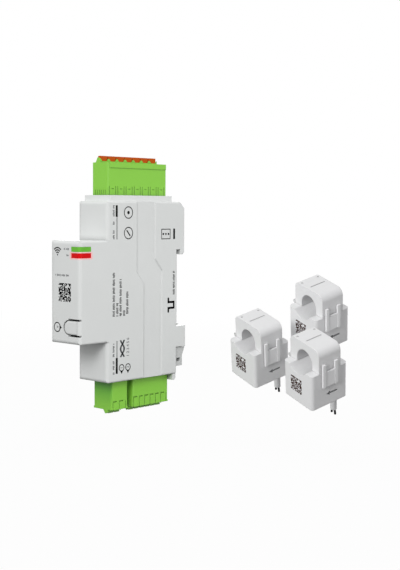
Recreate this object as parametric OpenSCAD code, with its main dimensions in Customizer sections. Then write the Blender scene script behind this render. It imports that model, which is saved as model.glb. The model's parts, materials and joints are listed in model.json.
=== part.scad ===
// Smart energy monitor: a one-module rail meter with plug-in terminals and three clip-on
// current transformers.
// Millimetres. The origin is on the rail's middle line in its seat plane: +X right side, -Y front, +Z up.

/* [Module] */
// Width of the module along the rail
module_w = 19; // [17.5:0.1:36]
// Depth of the nose in front of the rail seat
nose_d = 60; // [50:0.5:75]
// Depth of the shoulders in front of the rail seat
shoulder_d = 44; // [36:0.5:55]
// Depth of the hook behind the rail seat
hook_d = 4.9; // [4.5:0.1:7]
// Depth of the cheeks behind the rail seat
cheek_d = 5.9; // [4.8:0.1:6.2]
// Height of the nose
nose_h = 44.8; // [40:0.1:45]
// Height of the nose's middle above the rail's middle
nose_rise = 0.5; // [-1:0.1:1]
// Height of the body
body_h = 80.2; // [78:0.1:95]
// Thickness of the walls
wall = 1.6; // [1.2:0.1:2]
// Thickness of the wall at the rail seat
seat_wall = 2; // [1.5:0.1:3]
// Chamfer at the upper back corner
corner_cut = 3; // [0.5:0.1:5]
// Radius of the module's front edges
edge_r = 1.5; // [0.3:0.1:1.6]
// Radius of the long edges of the module's sides
side_r = 0.8; // [0.3:0.1:1.2]
// Depth of the shallow band on the right side
band_depth = 0.4; // [0.1:0.05:0.6]
// Width of the band
band_w = 11; // [6:0.1:14]
// Distance of the band's upper part behind the shoulder
band_back = 18.6; // [12:0.1:24]
// Sideways jog of the band
band_jog = 4.4; // [1:0.1:8]
// Height of the band's jog
band_jog_h = 5.2; // [2:0.1:10]
// Height of the jog's start on the front line of the band
band_jog_z = 8.4; // [-15:0.1:20]
// Extra height of the jog on the back line of the band
band_jog_rise = 5.6; // [0:0.1:10]
// Width of the band's sloped sides
band_slope = 0.5; // [0.2:0.1:1.2]

/* [Rail slot] */
// Height of the rail
rail_h = 35; // [35:0.1:35.5]
// Height by which the hook grips the rail's upper edge
hook_grip = 1.8; // [1:0.1:3]
// Clearance above the rail's upper edge
rail_gap = 0.5; // [0.2:0.05:0.8]
// Depth of the notch for the rail's upper edge
notch_d = 2.2; // [1.4:0.1:3]
// Step that keeps the seat proud of the notch
seat_step = 0.2; // [0.1:0.05:0.5]
// Drop of the cheeks under the rail's lower edge
cheek_drop = 0.2; // [0.1:0.05:1]
// Height of the cheeks
cheek_h = 9.9; // [8:0.1:14]
// Chamfer on the hook's lower outer edge
hook_cut = 0.9; // [0.2:0.1:1.4]

/* [Rail clip] */
// Width of the clip's tongue between the cheeks
clip_w = 10.4; // [8:0.1:12]
// Clearance around the clip
clip_gap = 0.3; // [0.2:0.05:0.5]
// Width of each guide wing of the clip
wing_w = 1; // [0.6:0.1:1.4]
// Thickness of the guide wings
wing_t = 1.6; // [1:0.1:2.2]
// Height by which the clip grips the rail's lower edge
clip_grip = 1.2; // [0.6:0.1:2]
// Thickness of rail that the clip passes behind
rail_t = 1; // [1:0.1:1.6]
// Inset of the clip's foot from the module's sides
foot_in = 0.8; // [0.4:0.1:2]
// Depth of the clip's foot behind the rail seat
foot_d = 6.4; // [5:0.1:7.2]
// Depth of the foot below its taper
foot_low_d = 4.7; // [3:0.1:6]
// Height of the clip's foot
foot_h = 8.8; // [6:0.1:12]
// Height of the foot's taper
foot_taper_h = 4; // [2:0.1:5]
// Height of the tool slot in the foot
tool_slot_h = 1.6; // [1:0.1:2.5]
// Depth of the tool slot in the foot
tool_slot_d = 2.4; // [1.2:0.1:3]
// Height of the tool slot above the foot's lower end
tool_slot_z = 2.1; // [1.2:0.1:4]

/* [Collar and toe] */
// Height of the collar around the upper plug
collar_h = 2.6; // [1:0.1:4]
// Width of the collar
collar_w = 16.3; // [14:0.1:16.4]
// Sideways place of the collar
collar_x = 0.5; // [0:0.1:0.5]
// Wall of the collar at its ends
collar_end = 0.8; // [0.6:0.1:1.6]
// Clearance around the plugs
plug_gap = 0.4; // [0.25:0.05:0.6]
// Height of the toe under the lower back corner
toe_h = 2.9; // [1:0.1:4]
// Length of the toe behind the sensor plug's opening
toe_l = 2; // [1.4:0.1:2]
// Inset of the toe from the module's sides
toe_in = 0.4; // [0.2:0.1:2]
// Corner radius of the toe
toe_r = 1.4; // [0.5:0.1:1.4]

/* [Light pipes] */
// Height of each light window
pipe_h = 2.15; // [1.5:0.05:3]
// Middle height of the upper window
pipe_z = 19.3; // [17:0.1:20]
// Distance between the two windows
pipe_step = 2.75; // [2.4:0.05:4]
// Length of each window on the front face
pipe_front = 5.3; // [3:0.1:8]
// Length of each window on the right side
pipe_side = 6.6; // [4:0.1:9]
// Thickness of the arm behind each window
pipe_arm = 1.6; // [1:0.1:2.5]

/* [Reset button] */
// Height of the button tongue
reset_h = 6.1; // [4:0.1:8]
// Length of the button tongue
reset_l = 8.7; // [6:0.1:11]
// Middle height of the button
reset_z = -14.7; // [-17:0.1:-8]
// Width of the slits above and below the button
slit = 0.8; // [0.3:0.05:1]
// Gap around the button's free end
tip_gap = 0.2; // [0.15:0.05:0.4]
// Rounding of the button's front edges
reset_round = 0.8; // [0.3:0.1:1.4]
// Gap at the button's flexing root
root_gap = 0.1; // [0.05:0.05:0.3]
// Depth of the slits on the right side
slit_wrap = 1.2; // [0.6:0.1:1.5]
// Radius of the peg behind the button
peg_r = 0.9; // [0.5:0.1:1.5]
// Length of the peg behind the button
peg_l = 0.7; // [0.4:0.1:1.2]
// Distance of the peg from the button's free end
peg_in = 1.7; // [1:0.1:3]

/* [Plugs] */
// Depth of every plug inside the body
plug_in = 7.1; // [5:0.1:9]
// Number of poles of the upper plug
power_poles = 7; // [7:1:7]
// Distance of the upper plug behind the shoulder's front
power_front = 3.6; // [3:0.1:8]
// Distance of the upper plug in front of the rail seat
power_back = 4; // [3:0.1:8]
// Length of the upper plug beyond its poles
power_ends = 0.84; // [0.4:0.01:2]
// Thickness of the upper plug
power_w = 9.6; // [8:0.1:11]
// Sideways place of the upper plug
power_x = 1.1; // [-1:0.1:1.4]
// Height of the upper plug above the body
power_out = 17.1; // [14:0.1:20]
// Thickness of the lower plugs
low_w = 11.4; // [9:0.1:11.6]
// Sideways place of the lower plugs
low_x = 0.3; // [0:0.1:1]
// Height of the lower plugs under the body
low_out = 13.2; // [10:0.1:16]
// Radius of the plugs' upright front edge
plug_r = 1; // [0.3:0.1:1.2]
// Number of poles of the bus plug
bus_poles = 2; // [2:1:2]
// Pitch of the bus plug
bus_pitch = 3.81; // [3.5:0.01:3.81]
// Length of the bus plug
bus_l = 9.4; // [8.6:0.1:10]
// Distance of the bus plug's middle from the rail seat
bus_y = 33.2; // [32:0.1:35]
// Number of poles of the sensor plug
sense_poles = 6; // [6:1:6]
// Pitch of the sensor plug
sense_pitch = 3.5; // [3.5:0.01:3.81]
// Length of the sensor plug
sense_l = 22.5; // [22:0.1:24]
// Distance of the sensor plug's middle from the rail seat
sense_y = 13.7; // [13:0.1:14]
// Thickness of each release lever
lever_t = 1.4; // [0.8:0.1:2]
// Clearance around each release lever
lever_gap = 0.2; // [0.15:0.05:0.3]
// Web between two lever slots
lever_web = 0.5; // [0.4:0.05:0.8]
// Length of each lever inside its plug
lever_in = 4; // [3:0.1:6]
// Travel of each release lever
lever_travel = 0.8; // [0.4:0.1:1.4]
// Height of the upper plug's levers above it
power_lever_out = 2.9; // [2:0.1:5]
// Height of the lower plugs' levers under them
low_lever_out = 1.8; // [1:0.1:3]
// Sideways place of the upper levers on their plug
power_lever_x = -1.7; // [-2.5:0.1:2]
// Sideways place of the lower levers on their plugs
low_lever_x = 1.4; // [-2:0.1:2]
// Height of the upper ridge around the levers
power_ridge_h = 1.6; // [1:0.1:3]
// Height of the lower ridges around the levers
low_ridge_h = 1.1; // [0.6:0.1:2]
// Wall of the ridge around the levers
ridge_wall = 0.5; // [0.4:0.05:1]
// Wall of the ridge behind the levers
ridge_back = 0.4; // [0.3:0.05:1]
// Slope of the ridge's back
ridge_slope = 1.3; // [0.2:0.1:1.5]
// Height of the ridge's front end above the ridge
ridge_rise = 0.7; // [0.2:0.1:1]
// Height of the notches' floor above the plug
notch_floor = 0.6; // [0.2:0.1:0.9]
// Share of a pole that each notch's floor takes
notch_share = 0.56; // [0.3:0.01:0.7]
// Size of each square wire entry
entry = 2.2; // [1.6:0.1:2.4]
// Distance of the wire entries from the levers
entry_off = 3.9; // [3:0.1:4.2]
// Proud band along the upper plug's right side
rim_t = 0.25; // [0.1:0.05:0.5]
// Height of that band
rim_h = 2.4; // [1:0.1:4]
// Width of the fine grooves on the plugs
groove_w = 0.35; // [0.2:0.05:0.5]
// Depth of the fine grooves on the plugs
groove_d = 0.25; // [0.1:0.05:0.4]
// Height of the grooves above the collar
groove_h = 4; // [2:0.1:6]
// Spacing of the paired grooves
groove_pair = 1.3; // [0.8:0.1:1.8]
// Share of the grooves' height at which a cross groove joins them
groove_cross = 0.7; // [0.3:0.05:0.9]
// Share of the grooves' height that the grooves between the end ribs have
rib_share = 0.6; // [0.3:0.05:1]
// Number of grooves between the ribs on the upper plug's end
end_ribs = 6; // [2:1:8]
// Height of the tabs on the bus plug
bus_tab_h = 3.5; // [2:0.1:5]
// Height of the tabs on the sensor plug
sense_tab_h = 4.2; // [2:0.1:5]
// Share of a pole that each tab's slot takes
tab_share = 0.62; // [0.3:0.01:0.8]
// Height and depth of each tab's slot
tab_slot = 0.5; // [0.3:0.05:0.8]
// Height of the lip at the lower plugs' ends
lip_h = 0.9; // [0.5:0.1:1.5]
// Reach of that lip
lip_t = 0.45; // [0.2:0.05:0.6]

/* [Contacts and headers] */
// Side of each square header pin
pin_side = 1; // [0.6:0.1:1.2]
// Clearance around each pin in its plug
pin_gap = 0.3; // [0.2:0.05:0.4]
// Reach of the pins into the plugs
pin_in = 5; // [3:0.1:6]
// Depth of the pins in their header
pin_root = 3; // [2:0.1:4]
// Height of each header
header_h = 5; // [4:0.1:8]
// Gap between plug and header
header_gap = 0.3; // [0.3:0.05:0.6]
// Height of each contact chamber
chamber_h = 7; // [5:0.1:8]
// Width of each contact chamber
chamber_w = 6; // [4:0.1:7]
// Web between two contact chambers
chamber_web = 1.1; // [0.8:0.05:1.5]
// Thickness of the contact strip
strip_t = 0.5; // [0.3:0.05:0.8]

/* [Board] */
// Thickness of the board
board_t = 1.2; // [1:0.1:1.6]
// Gap between the board and the left cover
board_gap = 0.6; // [0.4:0.1:1.2]
// Height of the board
board_h = 65; // [60:0.5:66]
// Height of the board inside the nose
board_nose_h = 40.4; // [36:0.1:41]
// Margin between the board and the walls
board_margin = 1; // [0.5:0.1:2]
// Radius of the posts that carry the board
post_r = 1.5; // [1:0.1:2.5]
// Inset of the posts from the board's edges
post_in = 3; // [2:0.1:5]
// Size of the radio module: height, length, thickness
radio = [16, 12, 3]; // [1:0.1:20]
// Place of the radio module: behind the board's front edge, and up
radio_at = [3.4, 4]; // [0:0.1:8]
// Size of the metering chip: height, length, thickness
chip = [9, 9, 1.2]; // [1:0.1:12]
// Place of the metering chip from the board's middle: backward, and up
chip_at = [-8, -9]; // [-16:0.1:16]
// Size of the transformer: height, length, thickness
transformer = [12, 13, 9]; // [1:0.1:16]
// Place of the transformer from the board's middle: backward, and up
transformer_at = [8, 12]; // [-16:0.1:16]
// Radius of the capacitor
capacitor_r = 3.5; // [2:0.1:5]
// Length of the capacitor
capacitor_l = 12; // [6:0.1:16]
// Place of the capacitor's front end from the board's middle: backward, and up
capacitor_at = [-14, 14]; // [-18:0.1:18]
// Size of the push switch: height, length, thickness
switch = [6, 3.5, 8.2]; // [1:0.1:10]
// Radius of the push switch's plunger
plunger_r = 1.4; // [0.8:0.1:2]
// Length of the plunger
plunger_l = 0.7; // [0.4:0.1:1]
// Gap between the plunger and the button's peg
plunger_gap = 0.6; // [0.5:0.05:1]
// Size of each indicator lamp: height, length, thickness
lamp = [1.2, 1.6, 0.8]; // [0.4:0.1:3]

/* [Current transformers] */
// Width of a transformer
ct_w = 19; // [16:0.1:30]
// Depth of its base
ct_base_d = 19.6; // [16:0.1:30]
// Depth of its jaw
ct_jaw_d = 11.8; // [11:0.1:24]
// Height of its base
ct_base_h = 17.1; // [16:0.1:26]
// Height of its jaw
ct_jaw_h = 11; // [10:0.1:18]
// Radius of the conductor hole
ct_bore_r = 5; // [3:0.1:8]
// Height of the hole's middle above the split
ct_bore_z = 2.5; // [2:0.1:5]
// Depth of the trough in the base
trough_d = 2.8; // [1:0.1:3]
// Reach of the trough beyond the hole on each side
trough_over = 0.3; // [0:0.05:0.5]
// Corner radius of the base
ct_base_r = 1.5; // [0.5:0.1:3]
// Radius of the jaw's right upper edge
jaw_right_r = 3.4; // [1:0.1:6]
// Radius of the jaw's left upper edge
jaw_left_r = 2.2; // [0.3:0.1:3]
// Gap at the split between jaw and base
split_gap = 0.1; // [0.05:0.05:0.3]
// Wall between the conductor hole and the core
core_wall = 0.6; // [0.5:0.05:1]
// Thickness of the core
core_t = 1.2; // [1:0.1:2]
// Depth of the core along the hole
core_d = 9; // [6:0.1:11]
// Depth of the lower core's bar under the split
core_drop = 9.5; // [8:0.1:12]
// Thickness of the coil around the lower core's bar
coil_t = 2.2; // [1:0.1:3]
// Length of the coil
coil_l = 9; // [6:0.1:10]
// Wall of the base
ct_wall = 1.4; // [1:0.1:2]
// Length of the groove in the jaw's top
top_groove_l = 8.1; // [5:0.1:11]
// Width of that groove
top_groove_w = 0.6; // [0.3:0.1:1]
// Depth of that groove
top_groove_d = 0.2; // [0.1:0.05:0.4]
// Sideways place of that groove
top_groove_x = -0.8; // [-5:0.1:5]
// Radius of the two marks on the jaw's top
dot_r = 0.5; // [0.3:0.1:1]
// Distance of those marks from the jaw's left side
dot_side = 3.4; // [3:0.1:5]
// Distance of those marks from the jaw's ends
dot_in = 1.3; // [1:0.1:3]

/* [Jaw hinge and latch] */
// Distance of the hinge line from the jaw's side
hinge_off = 1.4; // [1.3:0.1:2.5]
// Radius of the hinge knuckles
knuckle_r = 1; // [0.8:0.05:1.2]
// Length of the jaw's knuckle
knuckle_l = 5; // [3:0.1:8]
// Length of each base knuckle
base_knuckle_l = 2.6; // [1.5:0.1:4]
// Gap between neighbouring knuckles
knuckle_gap = 0.25; // [0.2:0.05:0.5]
// Radius of the hinge pin
hinge_pin_r = 0.5; // [0.4:0.05:0.8]
// Radial clearance of the hinge pin
hinge_fit = 0.05; // [0.02:0.01:0.1]
// Width of the latch
latch_w = 8.2; // [6:0.1:10]
// Place of the latch along the side
latch_y = -0.6; // [-1:0.1:1]
// Height of the latch prongs
latch_h = 11.5; // [8:0.1:12]
// Height of the latch plate
latch_plate_h = 7.5; // [5:0.1:9]
// Depth of the latch below the split
latch_drop = 7; // [5:0.1:9]
// Width of each prong
prong_w = 1.6; // [1:0.1:2.5]
// Thickness of the prongs
prong_t = 1.2; // [0.6:0.05:1.4]
// Thickness of the plate
plate_t = 0.9; // [0.4:0.05:0.9]
// Gap between the latch and the sides
latch_gap = 0.3; // [0.2:0.05:0.4]
// Reach of the catch on the base
catch_t = 0.4; // [0.3:0.05:0.5]
// Width of the catch
catch_w = 3.6; // [2:0.1:5]
// Height of the catch's lower ramp
catch_ramp = 1.6; // [1.3:0.1:2.5]
// Height of the catch's upper ramp
catch_top = 1; // [0.5:0.1:2]
// Clearance around the catch in the latch
catch_gap = 0.3; // [0.2:0.05:0.4]
// Distance of the direction arrow under the latch
arrow_drop = 4.6; // [3:0.1:7]
// Place of the arrow along the side
arrow_y = 1.1; // [-2:0.1:2]
// Depth of the arrow
arrow_d = 0.5; // [0.2:0.05:0.8]
// Length of the arrow
arrow_l = 6.1; // [3:0.1:8]
// Width of the arrow's shaft
arrow_w = 0.8; // [0.4:0.1:1.2]
// Width of the arrow's head
arrow_head = 2; // [1:0.1:3]

/* [Leads] */
// Radius of each lead
lead_r = 1.45; // [1:0.05:2.5]
// Length of each lead under its base
lead_l = 7.4; // [5:0.1:30]
// Depth of each lead inside its base
lead_in = 1.4; // [1:0.1:1.4]
// Sideways and backward place of the lead
lead_at = [5.4, 5.6]; // [-7:0.1:7]
// Radius of each inner wire
wire_r = 0.5; // [0.3:0.05:0.5]
// Length of each bare wire
wire_l = 1.8; // [1:0.1:4]
// Depth of the wires inside the lead
wire_in = 0.5; // [0.3:0.1:1]
// Distance between the two wires at the lead's end
wire_apart = 1.4; // [1:0.1:2]
// Splay of the wires
wire_splay = 22; // [0:1:40]

/* [Set layout] */
// Turn of the tilt's axis
set_turn = 34.2; // [0:0.1:90]
// Tilt of the set towards the viewer
set_tilt = 25.2; // [0:0.1:45]
// Turn of each transformer on its own base
ct_turn = -47.8; // [-90:0.1:90]
// Place of the first transformer's base
ct_1_at = [45.2, 18.5, -37.6]; // [-100:0.1:100]
// Place of the second transformer from the first, in the set's own directions
ct_2_from = [34.1, 4.6, 4.2]; // [-100:0.1:100]
// Place of the third transformer from the first, in the set's own directions
ct_3_from = [8.3, 28.2, 10.9]; // [-100:0.1:100]

/* [Hidden] */
$fn = 64;
e = 0.01;
half_w = module_w / 2;
body_top = body_h / 2;
nose_top = nose_rise + nose_h / 2;
nose_low = nose_rise - nose_h / 2;
hook_z = rail_h / 2 - hook_grip;
notch_z = rail_h / 2 + rail_gap;
cheek_top = -rail_h / 2 - cheek_drop;
cheek_low = cheek_top - cheek_h;
cover_x = -half_w + wall;
inner_x = half_w - wall;
board_x0 = cover_x + board_gap;
board_x = board_x0 + board_t;
board_front = -nose_d + wall + board_margin;
board_step = -shoulder_d + wall + board_margin;
board_back = -seat_wall - board_margin;
board_mid = (board_step + board_back) / 2;
power_l = shoulder_d - power_front - power_back;
power_y = power_back + power_l / 2;
power_pitch = (power_l - power_ends) / power_poles;
power_len_in = power_l + 2 * plug_gap;
reset_r = reset_h / 2;
reset_tip = inner_x - reset_l;
reset_mid = reset_tip + reset_r;
peg_x = reset_tip + peg_in;
split = ct_base_h;
jaw_low = split + split_gap;
bore_z = split + ct_bore_z;
trough_w = ct_bore_r + trough_over;
trough_r = (trough_w * trough_w + trough_d * trough_d) / (2 * trough_d);
core_r0 = ct_bore_r + core_wall;
core_r1 = core_r0 + core_t;
core_low = split - core_drop;
hinge_x = -ct_w / 2 - hinge_off;
latch_low = split - latch_drop;
latch_top = latch_low + latch_h;
latch_x = ct_w / 2 + latch_gap;
catch_z = latch_low + latch_plate_h / 2;

// A box from its lowest corner to its highest corner.
module block(low, high) {
  translate(low) cube(high - low);
}

// A side profile, drawn in depth and height, given thickness along X from x0 to x1.
module along_x(x0, x1) {
  translate([x0, 0, 0]) rotate([90, 0, 90]) linear_extrude(x1 - x0) children();
}

// A front profile, drawn in width and height, given thickness along Y from y0 to y1.
module along_y(y0, y1) {
  translate([0, y1, 0]) rotate([90, 0, 0]) linear_extrude(y1 - y0) children();
}

// A rectangle with round corners.
module round_rect(w, d, r) {
  square([w - 2 * r, d], center = true);
  square([w, d - 2 * r], center = true);
  for (x = [-1, 1], y = [-1, 1]) translate([x * (w / 2 - r), y * (d / 2 - r)]) circle(r);
}

// What a rounding takes off a corner at [0, 0], towards +X and +Y.
module corner_waste(r = edge_r) {
  difference() {
    translate([-e, -e]) square(r + e);
    translate([r, r]) circle(r);
  }
}

// Side outline of the module with the rail slot, round at its front corners.
module side_profile() {
  difference() {
    polygon([
      [-nose_d, nose_low], [-nose_d, nose_top], [-shoulder_d, nose_top], [-shoulder_d, body_top],
      [hook_d - corner_cut, body_top], [hook_d, body_top - corner_cut], [hook_d, hook_z + hook_cut],
      [hook_d - hook_cut, hook_z], [notch_d, hook_z], [notch_d, notch_z], [-seat_step, notch_z],
      [-seat_step, hook_z], [0, hook_z], [0, cheek_top + clip_grip + 2 * cheek_drop],
      [-seat_step, cheek_top + clip_grip + 2 * cheek_drop], [-seat_step, cheek_top], [cheek_d, cheek_top],
      [cheek_d, cheek_low], [-seat_step, cheek_low], [-seat_step, -body_top], [-shoulder_d, -body_top],
      [-shoulder_d, nose_low]]);
    translate([-nose_d, nose_low]) corner_waste();
    translate([-nose_d, nose_top]) mirror([0, 1]) corner_waste();
    translate([-shoulder_d, -body_top]) corner_waste();
    translate([-shoulder_d, body_top]) mirror([0, 1]) corner_waste();
  }
}

// What the rounding takes off the upright front edges of the right side.
module upright_waste() {
  translate([half_w, -nose_d, nose_low - e]) mirror([1, 0, 0]) linear_extrude(nose_h + 2 * e) corner_waste();
  translate([half_w, -shoulder_d, nose_top]) mirror([1, 0, 0])
    linear_extrude(body_top - nose_top + e) corner_waste();
  translate([half_w, -shoulder_d, -body_top - e]) mirror([1, 0, 0])
    linear_extrude(body_top + nose_low + e) corner_waste();
}

// What the rounding takes off the long edges of the right side.
module lying_waste() {
  for (edge = [[-shoulder_d, cheek_d, body_top, 180], [-shoulder_d, cheek_d, -body_top, 90],
      [-nose_d, -shoulder_d, nose_top, 180], [-nose_d, -shoulder_d, nose_low, 90]])
    along_y(edge[0] - e, edge[1]) translate([half_w, edge[2]]) rotate(edge[3]) corner_waste(side_r);
}

// Side outline of the room inside the module.
module room_profile() {
  translate([-nose_d + wall, nose_low + wall]) square([nose_d - shoulder_d + e, nose_h - 2 * wall]);
  translate([-shoulder_d + wall, -body_top + wall])
    square([shoulder_d - wall - seat_wall, body_h - 2 * wall]);
}

// The channel between the cheeks in which the rail clip slides.
module clip_channel() {
  cw = clip_w / 2 + clip_gap;
  block([-cw, -seat_step, cheek_low - e], [cw, cheek_d + e, cheek_top + e]);
  mid = cheek_d / 2;
  gw = cw + wing_w;
  block([-gw, mid - wing_t / 2 - clip_gap, cheek_low - e], [gw, mid + wing_t / 2 + clip_gap, cheek_top + e]);
}

// Openings for the plugs through the body's top and bottom walls.
module plug_openings() {
  g = plug_gap;
  block([power_x - power_w / 2 - g, -power_y - power_l / 2 - g, body_top - wall - e],
    [power_x + power_w / 2 + g, -power_y + power_l / 2 + g, body_top + collar_h + e]);
  block([low_x - low_w / 2 - g, -bus_y - bus_l / 2 - g, -body_top - e],
    [low_x + low_w / 2 + g, -bus_y + bus_l / 2 + g, -body_top + wall + e]);
  block([low_x - low_w / 2 - g, -sense_y - sense_l / 2 - g, -body_top - e],
    [low_x + low_w / 2 + g, -sense_y + sense_l / 2 + g, -body_top + plug_in + header_gap + header_h + g]);
}

// The shallow band with a jog on the right side.
module side_band() {
  y0 = -shoulder_d + band_back;
  y1 = y0 + band_w;
  z1 = band_jog_z;
  z2 = band_jog_z + band_jog_rise;
  front = [[y0 + band_jog, -body_top - e], [y0 + band_jog, z1 - band_jog_h], [y0, z1], [y0, body_top + e]];
  back = [[y1 + band_jog, -body_top - e], [y1 + band_jog, z2 - band_jog_h], [y1, z2], [y1, body_top + e]];
  along_x(half_w - band_depth, half_w + e) polygon(concat(front, [for (i = [3 : -1 : 0]) back[i]]));
  for (i = [0 : 2]) {
    band_side(front[i], front[i + 1], -1);
    band_side(back[i], back[i + 1], 1);
  }
}

// The slope along one stretch of the band's side, from a lower to a higher corner.
module band_side(low, high, side) {
  run = high - low;
  reach = band_slope * (1 + e / band_depth);
  translate([half_w, low[0], low[1]]) rotate([atan2(-run[0], run[1]), 0, 0]) linear_extrude(norm(run))
    polygon([[e, -side * e], [-band_depth, -side * e], [-band_depth, 0], [e, side * reach]]);
}

// One light window wrapping the front right edge.
module light_window(z) {
  z0 = z - pipe_h / 2;
  z1 = z + pipe_h / 2;
  block([half_w - pipe_front, -nose_d, z0], [half_w, -nose_d + wall, z1]);
  block([inner_x, -nose_d, z0], [half_w, -nose_d + pipe_side, z1]);
}

// The window with the arm that leads light to it.
module light_pipe(z) {
  difference() {
    light_window(z);
    upright_waste();
  }
  block([board_x + 2 * lamp[2], -nose_d + wall, z - pipe_h / 2],
    [inner_x, -nose_d + wall + pipe_arm, z + pipe_h / 2]);
}

// The opening for the reset button, with a slit above and below it.
module reset_cuts() {
  along_y(-nose_d - e, -nose_d + wall + e) {
    translate([reset_mid, reset_z]) circle(reset_r + tip_gap);
    translate([reset_mid, reset_z - reset_r - slit]) square([inner_x - reset_mid, reset_h + 2 * slit]);
  }
  for (s = [-1, 1]) {
    z = reset_z + s * (reset_r + slit / 2);
    block([inner_x - e, -nose_d - e, z - slit / 2], [half_w + e, -nose_d + slit_wrap, z + slit / 2]);
  }
}

module collar() {
  y0 = -power_y - power_len_in / 2 - collar_end;
  y1 = -power_y + power_len_in / 2 + collar_end;
  block([collar_x - collar_w / 2, y0, body_top], [collar_x + collar_w / 2, y1, body_top + collar_h]);
}

// The toe under the lower back corner, round at its back.
module toe() {
  y = -sense_y + sense_l / 2 + plug_gap;
  along_x(toe_in - half_w, half_w - toe_in) translate([y, -body_top - toe_h]) intersection() {
    square([toe_l, toe_h]);
    union() {
      square([toe_l - toe_r, toe_h]);
      translate([0, toe_r]) square([toe_l, toe_h - toe_r]);
      translate([toe_l - toe_r, toe_r]) circle(toe_r);
    }
  }
}

module housing() {
  color("LightGray") difference() {
    union() {
      along_x(cover_x, half_w) side_profile();
      collar();
      toe();
    }
    along_x(cover_x - e, inner_x) room_profile();
    plug_openings();
    clip_channel();
    side_band();
    light_window(pipe_z);
    light_window(pipe_z - pipe_step);
    reset_cuts();
    upright_waste();
    lying_waste();
  }
}

module cover() {
  color("Silver") difference() {
    union() {
      along_x(-half_w, cover_x) side_profile();
      for (y = [board_step + post_in, board_back - post_in], s = [-1, 1])
        translate([cover_x, y, s * (board_h / 2 - post_in)]) rotate([0, 90, 0])
          cylinder(r = post_r, h = board_gap);
    }
    clip_channel();
    mirror([1, 0, 0]) {
      upright_waste();
      lying_waste();
    }
  }
}

module pipe_green() {
  color("LimeGreen") light_pipe(pipe_z);
}

module pipe_red() {
  color("Red") light_pipe(pipe_z - pipe_step);
}

module main_board() {
  color("DarkGreen") {
    along_x(board_x0, board_x) {
      translate([board_step, -board_h / 2]) square([board_back - board_step, board_h]);
      translate([board_front, -board_nose_h / 2 + nose_rise])
        square([board_step - board_front + e, board_nose_h]);
    }
  }
}

// A box of height, length and thickness standing on the board.
module on_board(size, y, z) {
  block([board_x, y - size[1] / 2, z - size[0] / 2], [board_x + size[2], y + size[1] / 2, z + size[0] / 2]);
}

module radio_module() {
  color("DimGray") on_board(radio, board_front + radio_at[0] + radio[1] / 2, radio_at[1]);
}

module meter_chip() {
  color("Black") on_board(chip, board_mid + chip_at[0], chip_at[1]);
}

module supply_transformer() {
  color("Gold") on_board(transformer, board_mid + transformer_at[0], transformer_at[1]);
}

module capacitor() {
  color("MidnightBlue") translate([board_x + capacitor_r, board_mid + capacitor_at[0], capacitor_at[1]])
    rotate([-90, 0, 0]) cylinder(r = capacitor_r, h = capacitor_l);
}

module push_switch() {
  y0 = -nose_d + wall + peg_l + plunger_gap;
  color("DarkSlateGray") {
    on_board(switch, y0 + plunger_l + switch[1] / 2, reset_z);
    translate([peg_x, y0, reset_z]) rotate([-90, 0, 0]) cylinder(r = plunger_r, h = plunger_l + e);
  }
}

module status_lamps() {
  y = -nose_d + wall + pipe_arm / 2 + board_margin;
  color("White") for (z = [pipe_z, pipe_z - pipe_step]) on_board(lamp, y, z);
}

// Place of one pole along its plug.
function pole_y(poles, pitch, i) = (i - (poles - 1) / 2) * pitch;

module pins(poles, pitch, grow, low, high) {
  s = pin_side / 2 + grow;
  for (i = [0 : poles - 1]) {
    y = pole_y(poles, pitch, i);
    block([-s, y - s, low], [s, y + s, high]);
  }
}

// Local plug frame: the middle of the plug on the body's face, outwards along +Z.
module at_power() {
  translate([power_x, -power_y, body_top]) children();
}

module at_bus() {
  translate([low_x, -bus_y, -body_top]) mirror([0, 0, 1]) children();
}

module at_sense() {
  translate([low_x, -sense_y, -body_top]) mirror([0, 0, 1]) children();
}

// A plug in its local frame with pin holes, contact chambers, wire entries, lever slots and the lever ridge.
module plug(poles, pitch, l, w, out, lever_x, ridge_h, entry_x) {
  slot_t = lever_t / 2 + lever_gap;
  rx0 = lever_x - slot_t - ridge_back;
  rx1 = lever_x + slot_t + ridge_wall;
  end_t = (l - poles * pitch + lever_web) / 2;
  top = ridge_h + ridge_rise;
  difference() {
    union() {
      block([-w / 2, -l / 2, -plug_in], [w / 2, l / 2, out]);
      along_y(-l / 2, l / 2 - end_t)
        polygon([[rx0, out - e], [rx0 + ridge_slope * ridge_h / top, out + ridge_h], [rx1, out + ridge_h],
          [rx1, out - e]]);
      along_y(-l / 2, -l / 2 + end_t)
        polygon([[rx0, out - e], [rx0 + ridge_slope, out + top], [rx1, out + ridge_h], [rx1, out - e]]);
    }
    translate([w / 2, -l / 2, -plug_in - e]) mirror([1, 0, 0]) linear_extrude(plug_in + out + 2 * e)
      corner_waste(plug_r);
    pins(poles, pitch, pin_gap, -plug_in - e, -plug_in + pin_in + pin_gap);
    for (i = [0 : poles - 1]) {
      y = pole_y(poles, pitch, i);
      ch = (pitch - chamber_web) / 2;
      z0 = -plug_in + pin_in;
      block([-chamber_w / 2, y - ch, z0], [chamber_w / 2, y + ch, z0 + chamber_h]);
      block([entry_x - entry / 2, y - entry / 2, z0 + chamber_h - e],
        [entry_x + entry / 2, y + entry / 2, out + e]);
      lw = (pitch - lever_web) / 2;
      block([lever_x - slot_t, y - lw, out - lever_in - lever_travel - lever_gap],
        [lever_x + slot_t, y + lw, out + ridge_h + e]);
      translate([rx1 - ridge_wall - e, y, out]) rotate([90, 0, 90]) linear_extrude(ridge_wall + 2 * e)
        polygon([[-pitch / 2 + ridge_wall / 2, ridge_h + e], [-pitch * notch_share / 2, notch_floor],
          [pitch * notch_share / 2, notch_floor], [pitch / 2 - ridge_wall / 2, ridge_h + e]]);
    }
  }
}

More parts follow.
